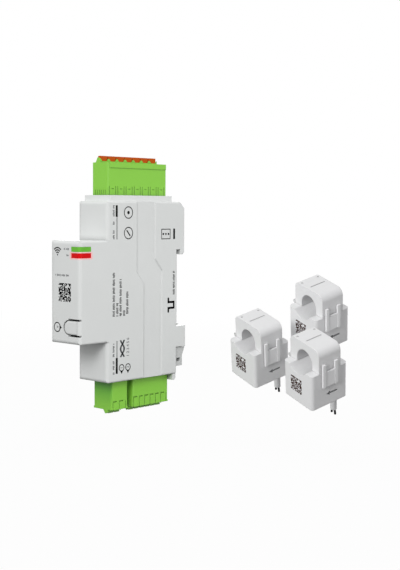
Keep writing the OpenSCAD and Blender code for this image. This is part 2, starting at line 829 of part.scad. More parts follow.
// One release lever in its plug's local frame, with a bevelled head.
module lever(poles, pitch, i, out, lever_x, lever_out) {
  y = pole_y(poles, pitch, i);
  lw = (pitch - lever_web) / 2 - lever_gap;
  translate([0, y, 0]) along_y(-lw, lw) polygon([
    [lever_x - lever_t / 2, out - lever_in], [lever_x + lever_t / 2, out - lever_in],
    [lever_x + lever_t / 2, out + lever_out], [lever_x - lever_t / 4, out + lever_out],
    [lever_x - lever_t / 2, out + lever_out - lever_t / 4]]);
}

// Spring contacts of one plug: a foot on the chamber floor and an upright strip.
module contacts(poles, pitch) {
  z0 = -plug_in + pin_in;
  cw = chamber_w / 2;
  for (i = [0 : poles - 1]) {
    y = pole_y(poles, pitch, i);
    ch = (pitch - chamber_web) / 2;
    difference() {
      block([-cw, y - ch, z0], [cw, y + ch, z0 + strip_t]);
      block([-pin_side, y - pin_side, z0 - e], [pin_side, y + pin_side, z0 + strip_t + e]);
    }
    block([-cw, y - ch, z0 + strip_t], [-cw + strip_t, y + ch, z0 + chamber_h]);
  }
}

// A header block on the board under one plug, with its pin holes.
module header(poles, pitch, l, w, x) {
  difference() {
    block([board_x - x, -l / 2, -plug_in - header_gap - header_h], [w / 2, l / 2, -plug_in - header_gap]);
    pins(poles, pitch, 0, -plug_in - header_gap - pin_root, -plug_in);
  }
}

module header_pin_row(poles, pitch) {
  pins(poles, pitch, 0, -plug_in - header_gap - pin_root, -plug_in + pin_in);
}

module power_header() {
  color("SeaGreen") at_power() header(power_poles, power_pitch, power_l, power_w, power_x);
}

module bus_header() {
  color("SeaGreen") at_bus() header(bus_poles, bus_pitch, bus_l, low_w, low_x);
}

module sense_header() {
  color("SeaGreen") at_sense() header(sense_poles, sense_pitch, sense_l, low_w, low_x);
}

module header_pins() {
  color("Goldenrod") {
    at_power() header_pin_row(power_poles, power_pitch);
    at_bus() header_pin_row(bus_poles, bus_pitch);
    at_sense() header_pin_row(sense_poles, sense_pitch);
  }
}

module power_plug() {
  z0 = collar_h;
  g = groove_w / 2;
  color("YellowGreen") at_power() difference() {
    union() {
      plug(power_poles, power_pitch, power_l, power_w, power_out, power_lever_x, power_ridge_h,
        power_lever_x + entry_off);
      block([power_w / 2 - e, plug_r - power_l / 2, power_out - rim_h],
        [power_w / 2 + rim_t, power_l / 2, power_out]);
    }
    for (i = [0 : power_poles], s = [-1, 1]) {
      y = pole_y(power_poles, power_pitch, i - 0.5) + s * groove_pair / 2;
      block([power_w / 2 - groove_d, y - g, z0], [power_w / 2 + e, y + g, z0 + groove_h]);
    }
    for (i = [0 : power_poles - 1]) {
      y = pole_y(power_poles, power_pitch, i);
      z = z0 + groove_h * groove_cross;
      block([power_w / 2 - groove_d, y - groove_pair / 2, z - g],
        [power_w / 2 + e, y + groove_pair / 2, z + g]);
    }
    for (i = [0 : end_ribs - 1]) {
      x = (i - (end_ribs - 1) / 2) * groove_pair;
      block([x - g, -power_l / 2 - e, z0], [x + g, -power_l / 2 + groove_d, z0 + groove_h * rib_share]);
    }
  }
}

// A lower plug: the plain plug with tabs marked by grooves and a lip at its outer end.
module low_plug(poles, pitch, l, tab_h) {
  g = groove_w / 2;
  x = low_w / 2;
  difference() {
    union() {
      plug(poles, pitch, l, low_w, low_out, low_lever_x, low_ridge_h, low_lever_x - entry_off);
      block([-x - lip_t, -l / 2, low_out - lip_h], [-x + e, l / 2, low_out]);
      block([-x - lip_t, l / 2 - e, low_out - lip_h], [x, l / 2 + lip_t, low_out]);
    }
    z = low_out - tab_h;
    for (i = [0 : poles - 1]) {
      y = pole_y(poles, pitch, i - 0.5);
      block([x - tab_slot, y - g, z - tab_slot], [x + e, y + pitch * tab_share, z]);
    }
    for (i = [0 : poles]) {
      y = pole_y(poles, pitch, i - 0.5);
      block([x - groove_d, y - g, z], [x + e, y + g, low_out + e]);
    }
  }
}

module bus_plug() {
  color("OliveDrab") at_bus() low_plug(bus_poles, bus_pitch, bus_l, bus_tab_h);
}

module sense_plug() {
  color("OliveDrab") at_sense() low_plug(sense_poles, sense_pitch, sense_l, sense_tab_h);
}

module power_contacts() {
  color("Gainsboro") at_power() contacts(power_poles, power_pitch);
}

module bus_contacts() {
  color("Gainsboro") at_bus() contacts(bus_poles, bus_pitch);
}

module sense_contacts() {
  color("Gainsboro") at_sense() contacts(sense_poles, sense_pitch);
}

module power_lever(i) {
  color("OrangeRed") at_power() lever(power_poles, power_pitch, i, power_out, power_lever_x, power_lever_out);
}

module bus_lever(i) {
  color("DarkOliveGreen") at_bus() lever(bus_poles, bus_pitch, i, low_out, low_lever_x, low_lever_out);
}

module sense_lever(i) {
  color("DarkOliveGreen") at_sense() lever(sense_poles, sense_pitch, i, low_out, low_lever_x, low_lever_out);
}

// The rail clip: tongue with guide wings and lip, and the foot with its tool slot.
module rail_clip() {
  mid = cheek_d / 2;
  foot_x = half_w - foot_in;
  top = cheek_top + cheek_drop + clip_grip;
  foot_top = cheek_low - clip_gap;
  foot_low = foot_top - foot_h;
  lip_y = rail_t + clip_gap;
  color("Gray") difference() {
    union() {
      along_x(-clip_w / 2, clip_w / 2) polygon([
        [clip_gap, foot_top - e], [clip_gap, cheek_top - cheek_drop], [lip_y, cheek_top - cheek_drop],
        [lip_y, top], [lip_y + rail_t, top], [cheek_d, top - clip_grip], [cheek_d, foot_top - e]]);
      block([-clip_w / 2 - wing_w, mid - wing_t / 2, cheek_low + clip_gap],
        [clip_w / 2 + wing_w, mid + wing_t / 2, cheek_top - clip_gap]);
      along_x(-foot_x, foot_x) polygon([
        [clip_gap, foot_low], [clip_gap, foot_top], [foot_d, foot_top], [foot_low_d, foot_top - foot_taper_h],
        [foot_low_d, foot_low]]);
    }
    slot_low = foot_low + tool_slot_z;
    block([-half_w, foot_low_d - clip_gap - tool_slot_d - rail_t, slot_low],
      [half_w, foot_low_d - clip_gap - rail_t, slot_low + tool_slot_h]);
  }
}

// The button tongue: a revolved tip and a straight part with the same round edges, and the peg behind them.
module reset_button() {
  color("WhiteSmoke") {
    translate([reset_mid, -nose_d + wall, reset_z]) rotate([90, 0, 0]) rotate_extrude() difference() {
      square([reset_r, wall]);
      translate([reset_r, wall]) mirror([1, 0]) mirror([0, 1]) corner_waste(reset_round);
    }
    along_x(reset_mid, inner_x - root_gap) translate([-nose_d, reset_z]) difference() {
      translate([0, -reset_r]) square([wall, reset_h]);
      translate([0, -reset_r]) corner_waste(reset_round);
      translate([0, reset_r]) mirror([0, 1]) corner_waste(reset_round);
    }
    translate([peg_x, -nose_d + wall - e, reset_z]) rotate([-90, 0, 0]) cylinder(r = peg_r, h = peg_l + e);
  }
}

// Places one transformer from its own frame, offset from the first one in the set's directions.
module at_ct(from) {
  translate(ct_1_at) rotate([0, 0, set_turn]) rotate([set_tilt, 0, 0]) rotate([0, 0, ct_turn])
    translate(from) children();
}

// An arch of one radius round the hole's middle, with straight sides down to a height.
module arch(r, low) {
  translate([0, bore_z]) circle(r);
  translate([-r, low]) square([2 * r, bore_z - low]);
}

module core_ring(low) {
  difference() {
    arch(core_r1, low);
    arch(core_r0, low - e);
  }
}

module ct_jaw_profile() {
  x = ct_w / 2;
  h = jaw_low + ct_jaw_h;
  translate([-x, jaw_low]) square([ct_w - jaw_right_r, ct_jaw_h - jaw_left_r]);
  translate([-x + jaw_left_r, jaw_low]) square([ct_w - jaw_left_r, ct_jaw_h - jaw_right_r]);
  translate([-x + jaw_left_r, jaw_low]) square([ct_w - jaw_left_r - jaw_right_r, ct_jaw_h]);
  translate([-x + jaw_left_r, h - jaw_left_r]) circle(jaw_left_r);
  translate([x - jaw_right_r, h - jaw_right_r]) circle(jaw_right_r);
}

// A knuckle around the hinge line with a web to the side of its part.
module knuckle(y0, y1, low, high) {
  along_y(y0, y1) {
    translate([hinge_x, split]) circle(knuckle_r);
    translate([hinge_x, split + low]) square([hinge_off + e, high - low]);
  }
}

module ct_jaw() {
  h = jaw_low + ct_jaw_h;
  x = ct_w / 2;
  y1 = knuckle_l / 2;
  pin_l = y1 + knuckle_gap + base_knuckle_l;
  color("White") difference() {
    union() {
      along_y(-ct_jaw_d / 2, ct_jaw_d / 2) ct_jaw_profile();
      knuckle(-y1, y1, split_gap, knuckle_r);
      translate([hinge_x, -pin_l, split]) rotate([-90, 0, 0]) cylinder(r = hinge_pin_r, h = 2 * pin_l);
    }
    along_y(-ct_base_d, ct_base_d) arch(ct_bore_r, split - e);
    along_y(-core_d / 2, core_d / 2) core_ring(split - e);
    block([top_groove_x - top_groove_w / 2, -top_groove_l / 2, h - top_groove_d],
      [top_groove_x + top_groove_w / 2, top_groove_l / 2, h + e]);
    for (s = [-1, 1]) translate([-x + dot_side, s * (ct_jaw_d / 2 - dot_in), h - top_groove_d])
      cylinder(r = dot_r, h = top_groove_d + e);
  }
}

module ct_upper_core() {
  color("SlateGray") along_y(-core_d / 2, core_d / 2) intersection() {
    core_ring(jaw_low);
    translate([-ct_w, jaw_low]) square([2 * ct_w, ct_w]);
  }
}

module ct_lower_core() {
  color("SlateGray") along_y(-core_d / 2, core_d / 2) {
    for (s = [-1, 1]) translate([s * (core_r0 + core_t / 2) - core_t / 2, core_low])
      square([core_t, split - core_low]);
    translate([-core_r1, core_low]) square([2 * core_r1, core_t]);
  }
}

module coil_profile(grow) {
  z = core_low + core_t / 2;
  t = core_t / 2 + grow;
  translate([-coil_l / 2, z - t]) square([coil_l, 2 * t]);
}

module ct_coil() {
  color("SandyBrown") difference() {
    along_y(-core_d / 2 - coil_t, core_d / 2 + coil_t) coil_profile(coil_t);
    along_y(-core_d / 2, core_d / 2) translate([-coil_l, core_low]) square([2 * coil_l, core_t]);
  }
}

// The ramped catch on the base's right side.
module catch_profile(grow) {
  x = ct_w / 2;
  polygon([[x - grow, catch_z + catch_top + grow], [x + catch_t + grow, catch_z + grow],
    [x + catch_t + grow, catch_z - grow / 2], [x - grow, catch_z - catch_ramp - 2 * grow]]);
}

module arrow_cut() {
  along_x(ct_w / 2 - arrow_d, ct_w / 2 + e) translate([arrow_y - arrow_l / 2, latch_low - arrow_drop]) {
    translate([arrow_w, -arrow_w / 2]) square([arrow_l - arrow_w, arrow_w]);
    polygon([[0, 0], [arrow_head, arrow_head / 2], [arrow_head, -arrow_head / 2]]);
  }
}

module ct_base() {
  x = ct_w / 2;
  room_top = split - trough_d - ct_wall;
  y0 = knuckle_l / 2 + knuckle_gap;
  color("White") difference() {
    union() {
      linear_extrude(split) round_rect(ct_w, ct_base_d, ct_base_r);
      for (s = [-1, 1]) {
        y = s * (y0 + base_knuckle_l / 2);
        knuckle(y - base_knuckle_l / 2, y + base_knuckle_l / 2, -2 * knuckle_r, 0);
      }
      along_y(latch_y - catch_w / 2, latch_y + catch_w / 2) catch_profile(0);
    }
    translate([0, 0, split - trough_d + trough_r]) rotate([90, 0, 0])
      cylinder(r = trough_r, h = 2 * ct_base_d, center = true);
    block([-x + ct_wall, -ct_base_d / 2 + ct_wall, ct_wall],
      [x - ct_wall, ct_base_d / 2 - ct_wall, room_top]);
    along_y(-core_d / 2, core_d / 2) for (s = [-1, 1])
      translate([s * (core_r0 + core_t / 2) - core_t / 2, room_top - e]) square([core_t, split]);
    translate([hinge_x, -ct_base_d, split]) rotate([-90, 0, 0])
      cylinder(r = hinge_pin_r + hinge_fit, h = 2 * ct_base_d);
    arrow_cut();
    translate([lead_at[0], lead_at[1], -e]) cylinder(r = lead_r, h = lead_in + e);
  }
}

// The latch: a plate on two prongs that reaches over the catch.
module ct_latch() {
  y = latch_w / 2;
  color("Ivory") translate([0, latch_y, 0]) difference() {
    union() {
      block([latch_x, -y, latch_low], [latch_x + plate_t, y, latch_low + latch_plate_h]);
      for (s = [-1, 1]) {
        m = s * (y - prong_w / 2);
        block([latch_x, m - prong_w / 2, latch_low], [latch_x + prong_t, m + prong_w / 2, latch_top]);
      }
    }
    along_y(-catch_w / 2 - catch_gap, catch_w / 2 + catch_gap) catch_profile(catch_gap);
  }
}

module ct_lead() {
  color("White") translate([lead_at[0], lead_at[1], -lead_l]) difference() {
    cylinder(r = lead_r, h = lead_l + lead_in);
    wire_pair();
  }
}

// Two splayed wires at a lead's lower end.
module wire_pair() {
  for (s = [-1, 1]) translate([s * wire_apart / 2, 0, 0]) rotate([0, 180 - s * wire_splay, 0])
    translate([0, 0, -wire_in]) cylinder(r = wire_r, h = wire_l + wire_in);
}

module lead_wires() {
  color("Black") for (from = [[0, 0, 0], ct_2_from, ct_3_from])
    at_ct(from) translate([lead_at[0], lead_at[1], -lead_l]) wire_pair();
}

housing();
cover();
pipe_green();
pipe_red();
main_board();
radio_module();
meter_chip();
push_switch();
status_lamps();
capacitor();
supply_transformer();
power_header();
bus_header();
sense_header();
header_pins();
rail_clip();
reset_button();
power_plug();
power_contacts();
bus_plug();
bus_contacts();
sense_plug();
sense_contacts();
power_lever(0);  // power_lever_1
power_lever(1);  // power_lever_2
power_lever(2);  // power_lever_3
power_lever(3);  // power_lever_4
power_lever(4);  // power_lever_5
power_lever(5);  // power_lever_6
power_lever(6);  // power_lever_7
bus_lever(0);  // bus_lever_1
bus_lever(1);  // bus_lever_2
sense_lever(0);  // sense_lever_1
sense_lever(1);  // sense_lever_2
sense_lever(2);  // sense_lever_3
sense_lever(3);  // sense_lever_4
sense_lever(4);  // sense_lever_5
sense_lever(5);  // sense_lever_6
at_ct([0, 0, 0]) ct_base();  // ct_1_base
at_ct(ct_2_from) ct_base();  // ct_2_base
at_ct(ct_3_from) ct_base();  // ct_3_base
at_ct([0, 0, 0]) ct_jaw();  // ct_1_jaw
at_ct(ct_2_from) ct_jaw();  // ct_2_jaw
at_ct(ct_3_from) ct_jaw();  // ct_3_jaw
at_ct([0, 0, 0]) ct_latch();  // ct_1_latch
at_ct(ct_2_from) ct_latch();  // ct_2_latch
at_ct(ct_3_from) ct_latch();  // ct_3_latch
at_ct([0, 0, 0]) ct_upper_core();  // ct_1_upper_core
at_ct(ct_2_from) ct_upper_core();  // ct_2_upper_core
at_ct(ct_3_from) ct_upper_core();  // ct_3_upper_core
at_ct([0, 0, 0]) ct_lower_core();  // ct_1_lower_core
at_ct(ct_2_from) ct_lower_core();  // ct_2_lower_core
at_ct(ct_3_from) ct_lower_core();  // ct_3_lower_core
at_ct([0, 0, 0]) ct_coil();  // ct_1_coil
at_ct(ct_2_from) ct_coil();  // ct_2_coil
at_ct(ct_3_from) ct_coil();  // ct_3_coil
at_ct([0, 0, 0]) ct_lead();  // ct_1_lead
at_ct(ct_2_from) ct_lead();  // ct_2_lead
at_ct(ct_3_from) ct_lead();  // ct_3_lead
lead_wires();
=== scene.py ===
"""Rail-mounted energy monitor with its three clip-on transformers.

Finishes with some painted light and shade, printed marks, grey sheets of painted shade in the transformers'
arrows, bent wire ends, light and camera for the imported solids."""
import json
from math import cos, pi, radians, sin

import bmesh
import bpy
from mathutils import Matrix, Vector

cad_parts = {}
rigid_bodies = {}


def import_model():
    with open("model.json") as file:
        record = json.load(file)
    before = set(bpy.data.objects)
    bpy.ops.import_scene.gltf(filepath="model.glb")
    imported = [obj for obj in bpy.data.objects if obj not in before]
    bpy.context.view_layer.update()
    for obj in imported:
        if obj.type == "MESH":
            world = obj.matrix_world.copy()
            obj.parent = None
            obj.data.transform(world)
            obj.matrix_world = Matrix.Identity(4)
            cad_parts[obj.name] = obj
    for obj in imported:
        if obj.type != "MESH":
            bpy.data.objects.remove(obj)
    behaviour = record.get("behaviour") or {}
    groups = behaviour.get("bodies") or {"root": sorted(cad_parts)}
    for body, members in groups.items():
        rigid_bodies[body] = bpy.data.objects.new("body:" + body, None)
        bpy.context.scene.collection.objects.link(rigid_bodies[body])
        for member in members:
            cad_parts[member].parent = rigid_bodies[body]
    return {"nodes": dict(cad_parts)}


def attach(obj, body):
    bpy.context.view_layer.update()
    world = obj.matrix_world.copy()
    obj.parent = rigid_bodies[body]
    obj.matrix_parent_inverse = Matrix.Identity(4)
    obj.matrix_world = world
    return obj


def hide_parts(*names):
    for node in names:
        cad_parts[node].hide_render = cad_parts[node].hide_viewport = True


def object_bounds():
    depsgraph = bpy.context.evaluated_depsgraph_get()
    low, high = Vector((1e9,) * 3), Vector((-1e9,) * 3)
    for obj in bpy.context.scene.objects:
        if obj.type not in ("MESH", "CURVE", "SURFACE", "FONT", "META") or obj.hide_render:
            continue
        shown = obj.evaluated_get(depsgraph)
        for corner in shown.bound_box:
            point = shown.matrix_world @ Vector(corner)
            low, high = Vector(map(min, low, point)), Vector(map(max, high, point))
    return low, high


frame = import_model()
solid_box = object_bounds()

# Sizes in millimetres and angles in degrees, as the solids have them
MM = 0.001
RIGHT_FACE = 9.5
FRONT_ZERO = (0.5, -60.0, 0.0)
RED_WINDOW = (6.85, -56.7, 16.55)
RED_WINDOW_HALF = (2.65, 3.3, 1.075)
COLLAR_FOOT = 40.0
TRANSFORMER_AT = (45.2, 18.5, -37.6)
TRANSFORMER_SHIFTS = {1: (0, 0, 0), 2: (34.1, 4.6, 4.2), 3: (8.3, 28.2, 10.9)}
SET_TURN, SET_TILT, TRANSFORMER_TURN = 34.2, 25.2, -47.8
TRANSFORMER_FRONT = -9.8
ARROW_FLOOR, ARROW_HEIGHT = 9.0, 5.5
LEAD_END = (5.4, 5.6, -7.4)
WIRE_RADIUS, WIRE_ASIDE, WIRE_IN, WIRE_LEAN = 0.5, 0.7, 0.5, 22.0

# Sizes and counts of what the looks add, in the same units
INK = 0.02
ARROW_SHADE_THICK = 0.36
WIRE_SIDES, WIRE_STEP, WIRE_STEPS, WIRE_BEND = 16, 0.5, 6, 4.0
WIRE_ROUND, WIRE_ROUND_STEPS = 0.125, 2
BAR_WIDE, LINE_WIDE, FRAME_WIDE = 1.2, 0.4, 0.36
SIGN_RADIUS, SIGN_WIDE = 2.55, 0.42
CODE_CELLS = 19
DIGIT_TALL, DIGIT_FONT = 1.5, 1.4
PRINT_COLUMN, PRINT_TALL = -40.1, 1.05
TICK_PITCH, TICK_MIDDLE, TICK_END = 0.5, 0.17, 0.2
TICK_WIDE, ROW_TICK_WIDE, TICK_SWAY = 0.3, 0.26, 0.08
TICK_GAP = 4
RING_STEP, RING_STEPS_LEAST, DISC_CORNERS = 12, 6, 24
FLOOR_DROP = 13.5

# Grain, painted edge light, painted shade, painted light on the collar, the painted red glow and tones in
# the finishes, with lengths in millimetres
DRIFT_SIZE, EDGE_PATCH_SIZE = 18, 1.5
COARSE, FINE = 2.0, 3.0
GLOSS_SPAN = 0.12
EDGE_SAMPLES, EDGE_FLAT, EDGE_ROUND, EDGE_LEAST = 6, 0.995, 0.86, 0.6
ASLANT = -0.5
SHADE_SAMPLES, SHADE_TONE = 8, 0.1
CREVICE_STRENGTH, HOLLOW_STRENGTH = 0.6, 1.0
COLLAR_BLEND, COLLAR_PAINTED_LIGHT = 0.2, 1.08
RED_GLOW_REACH, RED_GLOW_FLATTER, RED_GLOW_STRENGTH = 1.5, 1.6, 0.9
BUS_FADE, BUS_LOW_TONE = (-39.0, -54.0), 0.9
TO_FRONT = (-0.3, -0.9)
INK_WORN, INK_WORN_MOST, INK_DRIFT = (0.62, 0.8), 0.1, 0.004

# The photograph's camera, in millimetres and degrees
SIGHT, SIGHT_RIGHT, SIGHT_BACK = (0.5, -30.0, 2.61), 37.8, 503.9
SIGHT_AZIMUTH, SIGHT_ELEVATION, SIGHT_ROLL = 42.44, 3.93, 0.38
LENS, FILM_HEIGHT = 70.42, 36.0

# The studio, with lengths in metres
FLOOR_HALF = 3.0
FLOOR_NEAR, FLOOR_FAR, FLOOR_GLOW = 0.25, 0.6, 0.95
PAPER_DARK, PAPER_LIGHT, PAPER_THROWN = 0.94, 0.97, 0.25
SURROUND_LIGHT = 0.7
LAMP_AWAY, LAMP_AIM = 1.2, (0.03, -0.01, 0.0)

# Sockets of the mix node that take and give colours
MIX_A, MIX_B, MIX_RESULT = 6, 7, 2
# Rays that see the surround and the floor as white
SEEN_RAYS = ("Is Camera Ray", "Is Glossy Ray", "Is Transmission Ray")


# Colours

def tint(colour, factor):
    """A lighter or darker tone of a colour."""
    return tuple(min(1.0, c * factor) for c in colour[:3]) + (1.0,)


def srgb(r, g, b):
    """A colour as it is seen, turned into the linear one that shaders use."""
    def straight(v):
        v /= 255
        return v / 12.92 if v <= 0.04045 else ((v + 0.055) / 1.055) ** 2.4
    return straight(r), straight(g), straight(b), 1.0


def grey(value):
    """A linear grey."""
    return value, value, value, 1.0


WHITE = grey(1.0)
SHELL = srgb(215, 217, 216)
CASE_WHITE = srgb(225, 225, 226)
PLUG = srgb(133, 201, 62)
BUS_SHADE = srgb(70, 148, 34)
RED_GLOW = srgb(255, 178, 178)


# Nodes

class Wire:
    """An output in a node tree, on which sums are written as plain expressions."""

    def __init__(self, sheet, socket):
        self.sheet = sheet
        self.socket = socket

    def sum(self, kind, a, b):
        return self.sheet.node("ShaderNodeMath", {"operation": kind}, {0: a, 1: b})

    def __add__(self, other):
        return self.sum("ADD", self, other)

    def __mul__(self, other):
        return self.sum("MULTIPLY", self, other)

    def __truediv__(self, other):
        return self.sum("DIVIDE", self, other)

    def __pow__(self, other):
        return self.sum("POWER", self, other)

    __radd__, __rmul__ = __add__, __mul__


class Sheet:
    """A node tree, with the few ways in which this script adds nodes to it."""

    def __init__(self, tree):
        self.tree = tree

    def node(self, kind, settings=None, sockets=None, out=0):
        """Adds a node, sets its options, links or fills its inputs, and gives one of its outputs."""
        made = self.tree.nodes.new(kind)
        for key, value in (settings or {}).items():
            setattr(made, key, value)
        for key, value in (sockets or {}).items():
            if isinstance(value, Wire):
                self.tree.links.new(value.socket, made.inputs[key])
            else:
                made.inputs[key].default_value = value
        return Wire(self, made.outputs[out]) if made.outputs else None

    def mix(self, share, a, b):
        """A colour between a and b."""
        sockets = {0: share, MIX_A: a, MIX_B: b}
        return self.node("ShaderNodeMix", {"data_type": "RGBA"}, sockets, MIX_RESULT)

    def blend(self, share, a, b):
        """A shader between a and b."""
        return self.node("ShaderNodeMixShader", None, {0: share, 1: a, 2: b})

    def between(self, value, low, high):
        """0 at low, 1 at high, and smooth in between."""
        sockets = {"Value": value, "From Min": low, "From Max": high, "To Min": 0.0, "To Max": 1.0}
        return self.node("ShaderNodeMapRange", {"interpolation_type": "SMOOTHSTEP"}, sockets)

    def vector(self, kind, a, b=(0, 0, 0), out="Vector"):
        """A sum on vectors."""
        return self.node("ShaderNodeVectorMath", {"operation": kind}, {0: a, 1: b}, out)

    def seen(self):
        """1 for what the eye, a gloss or a clear piece sees, 0 for the light that reaches matt pieces."""
        eye, gloss, clear = (self.node("ShaderNodeLightPath", out=ray) for ray in SEEN_RAYS)
        return self.between(eye + gloss + clear, 0.0, 1.0)


class Finish(Sheet):
    """A material whose shader is one Principled BSDF."""

    def __init__(self, name, **constants):
        self.material = bpy.data.materials.new(name)
        self.material.use_nodes = True
        super().__init__(self.material.node_tree)
        for key, value in constants.items():
            self.input(key).default_value = value

    def input(self, key):
        """The shader's input of this name, which is given in small letters."""
        title = key.replace("_", " ").title().replace("Ior", "IOR")
        return self.tree.nodes["Principled BSDF"].inputs[title]

    def feed(self, **wires):
        """Joins wires to the shader, and gives the material."""
        for key, wire in wires.items():
            self.tree.links.new(wire.socket, self.input(key))
        return self.material

    def spot(self):
        """The place on the piece, in metres."""
        return self.node("ShaderNodeTexCoord", out="Object")

    def height(self):
        """The height of the place, in millimetres."""
        return self.node("ShaderNodeSeparateXYZ", None, {0: self.spot()}, "Z") / MM

    def normal(self):
        """The surface's direction."""
        return self.node("ShaderNodeNewGeometry", out="Normal")

    def facing(self, axis):
        """How far the surface looks along an axis."""
        return self.node("ShaderNodeSeparateXYZ", None, {0: self.normal()}, axis)

    def noise(self, size, detail=COARSE, spot=None):
        """A cloud with lumps of about this size in millimetres."""
        sockets = {"Vector": spot or self.spot(), "Scale": 1 / (size * MM), "Detail": detail}
        return self.node("ShaderNodeTexNoise", None, sockets)

    def soft_edge(self, radius):
        """The surface's direction, with its edges rounded off."""
        return self.node("ShaderNodeBevel", {"samples": EDGE_SAMPLES}, {"Radius": radius * MM})

    def edge_share(self, rounded):
        """1 on the rounded edges, 0 on the flats."""
        alike = self.vector("DOT_PRODUCT", rounded, self.normal(), "Value")
        return self.between(alike, EDGE_FLAT, EDGE_ROUND)

    def bump(self, height, depth, under=None):
        """A fine relief of this depth in millimetres."""
        sockets = {"Height": height, "Distance": depth * MM, "Strength": 1.0}
        if under:
            sockets["Normal"] = under
        return self.node("ShaderNodeBump", None, sockets)

    def gloss(self, least, span, cloud):
        """A roughness that a cloud raises from the least by up to the span."""
        return least + span * cloud

    def mottle(self, cloud, colour, darkest, lightest):
        """A colour that a cloud varies between two of its tones."""
        return self.mix(cloud, tint(colour, darkest), tint(colour, lightest))


class Moulded(Finish):
    """Moulded plastic: a fine spark texture, a slow drift of tone, and a painted highlight or painted shade
    on the rounded edges.
    """

    def __init__(self, name, colour, rough=0.5, edge=0.4, edge_light=1.06, grain=0.35, depth=0.006,
                 drift=0.03, **constants):
        super().__init__(name, **constants)
        self.colour, self.rough, self.depth = colour, rough, depth
        self.speck = self.noise(grain, FINE)
        self.rounded = self.soft_edge(edge)
        self.tone = self.mottle(self.noise(DRIFT_SIZE), colour, 1 - drift, 1 + drift)
        # Painted highlight on the rounded edges where the edge factor is above 1, painted shade where it is
        # below 1, in patches that a cloud breaks up
        wear_and_light_patches = EDGE_LEAST + (1 - EDGE_LEAST) * self.noise(EDGE_PATCH_SIZE)
        self.cover(self.edge_share(self.rounded) * wear_and_light_patches, tint(colour, edge_light))

    def cover(self, share, colour):
        """Lays a colour over the tone, as far as the share says."""
        self.tone = self.mix(share, self.tone, colour)

    def corner(self, factor):
        """Paints shade on the upright corners between front and right and between back and left."""
        aslant = self.facing("X") * self.facing("Y")
        self.cover(self.between(aslant, 0.0, ASLANT), tint(self.colour, factor))

    def shade(self, reach, alone, strength):
        """Darkens what other surfaces enclose within this reach."""
        settings = {"samples": SHADE_SAMPLES, "only_local": alone}
        free = self.node("ShaderNodeAmbientOcclusion", settings, {"Distance": reach * MM}, "AO")
        self.tone = self.mix(free ** strength, tint(self.colour, SHADE_TONE), self.tone)

    def crevice(self, reach):
        """Shade between pieces."""
        self.shade(reach, False, CREVICE_STRENGTH)

    def hollow(self, reach):
        """Shade in the piece's own hollows."""
        self.shade(reach, True, HOLLOW_STRENGTH)

    def done(self):
        """Joins tone, gloss and grain to the shader, and gives the material."""
        gloss = self.gloss(self.rough - GLOSS_SPAN / 2, GLOSS_SPAN, self.speck)
        relief = self.bump(self.speck, self.depth, self.rounded)
        return self.feed(base_color=self.tone, roughness=gloss, normal=relief)


# Finishes

def red_glow_share(f):
    """1 on the red window, falling to 0 at the reach of the painted red glow round it."""
    middle = tuple(-v * MM for v in RED_WINDOW)
    half = tuple(v * MM for v in RED_WINDOW_HALF)
    shifted = f.node("ShaderNodeMapping", None, {"Vector": f.spot(), "Location": middle})
    outside = f.vector("MAXIMUM", f.vector("SUBTRACT", f.vector("ABSOLUTE", shifted), half))
    away = f.vector("LENGTH", f.vector("MULTIPLY", outside, (1, 1, RED_GLOW_FLATTER)), out="Value")
    return f.between(away / MM, RED_GLOW_REACH, 0.0)


def shell_grey():
    """The module's light grey plastic, with painted shade on corners and between pieces, painted light on
    the collar, and a painted red glow round the red window.
    """
    f = Moulded("shell_grey", SHELL, rough=0.52, edge_light=0.97)
    # Painted shade on the upright front-right and back-left corners
    f.corner(0.92)
    f.crevice(2.5)
    # Painted light on the collar, above its foot
    f.cover(f.between(f.height(), COLLAR_FOOT, COLLAR_FOOT + COLLAR_BLEND), tint(SHELL, COLLAR_PAINTED_LIGHT))
    # Painted red glow of the window's lamp on the housing round it
    f.cover(red_glow_share(f) * RED_GLOW_STRENGTH, RED_GLOW)
    return f.done()


def clip_grey():
    """The rail clip's darker grey, a darker copy of the shell grey that paints the shade on the recessed
    clip.
    """
    return Moulded("clip_grey", srgb(194, 196, 195), rough=0.55).done()


def plug_plastic(name):
    """The bright green plastic of plugs and headers, with painted shade on its upright front-right corners.
    """
    f = Moulded(name, PLUG, rough=0.46, edge=0.3)
    # Painted shade on the upright front-right and back-left corners
    f.corner(0.86)
    f.crevice(4)
    return f


def plug_green():
    return plug_plastic("plug_green").done()


def bus_green():
    """The same green, with painted shade on its front that is darkest under the housing and fades towards
    its foot.
    """
    f = plug_plastic("bus_green")
    painted_front_shade = f.mix(f.between(f.height(), *BUS_FADE), BUS_SHADE, tint(PLUG, BUS_LOW_TONE))
    f.cover(f.between(f.facing("Y"), *TO_FRONT), painted_front_shade)
    return f.done()


def lever_green():
    """The lower plugs' release levers, in a darker copy of the plug green that paints the shade they sit
    in, with a painted highlight on their edges.
    """
    return Moulded("lever_green", srgb(112, 160, 74), edge=0.2, edge_light=1.2).done()


def lever_orange():
    """The upper plug's release levers."""
    return Moulded("lever_orange", srgb(186, 78, 4), edge=0.25, edge_light=1.1,
                   specular_ior_level=0.15).done()


def case_plastic(name, colour, edge_light):
    """The transformers' smooth white plastic."""
    return Moulded(name, colour, rough=0.42, edge=0.5, edge_light=edge_light, grain=0.5, depth=0.003,
                   drift=0.012)


def base_white():
    f = case_plastic("base_white", CASE_WHITE, 1.04)
    f.hollow(5)
    return f.done()


def jaw_white():
    f = case_plastic("jaw_white", CASE_WHITE, 1.04)
    f.hollow(12)
    return f.done()


def latch_white():
    # A lighter copy of the case white: painted light on the latch plate, with painted shade on its rounded
    # edges
    return case_plastic("latch_white", srgb(236, 236, 237), 0.86).done()


